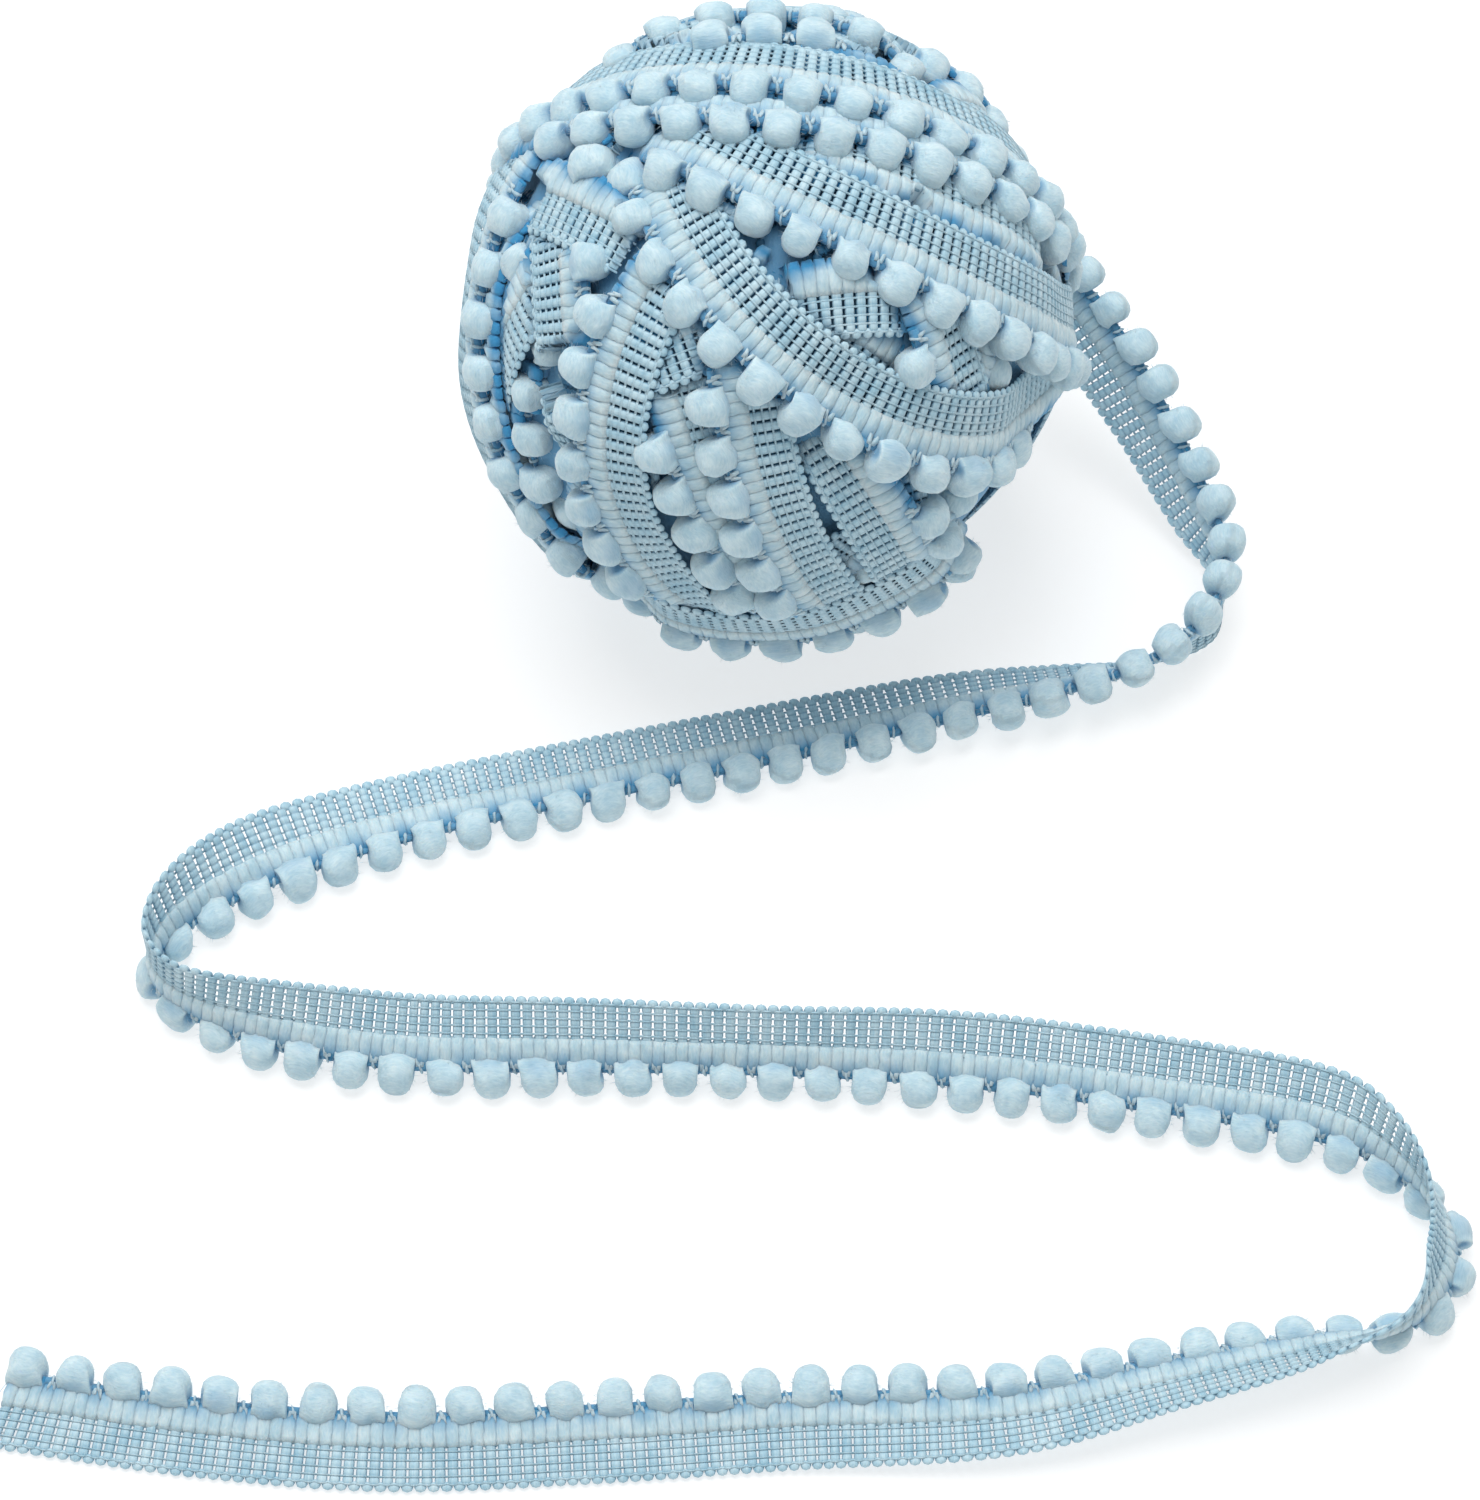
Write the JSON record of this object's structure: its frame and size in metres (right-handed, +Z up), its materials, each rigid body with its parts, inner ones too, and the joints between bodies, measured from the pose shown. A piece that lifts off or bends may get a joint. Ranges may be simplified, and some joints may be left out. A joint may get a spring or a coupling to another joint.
{
  "type": "pompom fringe trim wound into a ball",
  "caption": "Woven heading tape edged with a tied row of small pompoms, wound criss-cross into a ball with a long loose tail",
  "frame": {"origin": "middle of the ball's flat spot, on the surface that it rests on", "axes": "+Z up, the loose tail lies towards -Y, +X to the right"},
  "size_m": [0.183, 0.1889, 0.0809],
  "materials": {
    "plush_yarn": "soft baby-blue plush yarn",
    "woven_tape": "open woven baby-blue tape with a slight lustre"
  },
  "bodies": {
    "root": {"wound_ball": "plush_yarn", "tail_tape": "woven_tape", "tail_pompoms_01": "plush_yarn", "tail_pompoms_02": "plush_yarn", "tail_pompoms_03": "plush_yarn", "tail_pompoms_04": "plush_yarn", "tail_pompoms_05": "plush_yarn", "tail_pompoms_06": "plush_yarn", "tail_pompoms_07": "plush_yarn", "tail_pompoms_08": "plush_yarn", "tail_pompoms_09": "plush_yarn", "tail_pompoms_10": "plush_yarn", "tail_pompoms_11": "plush_yarn"}
  },
  "joints": []
}
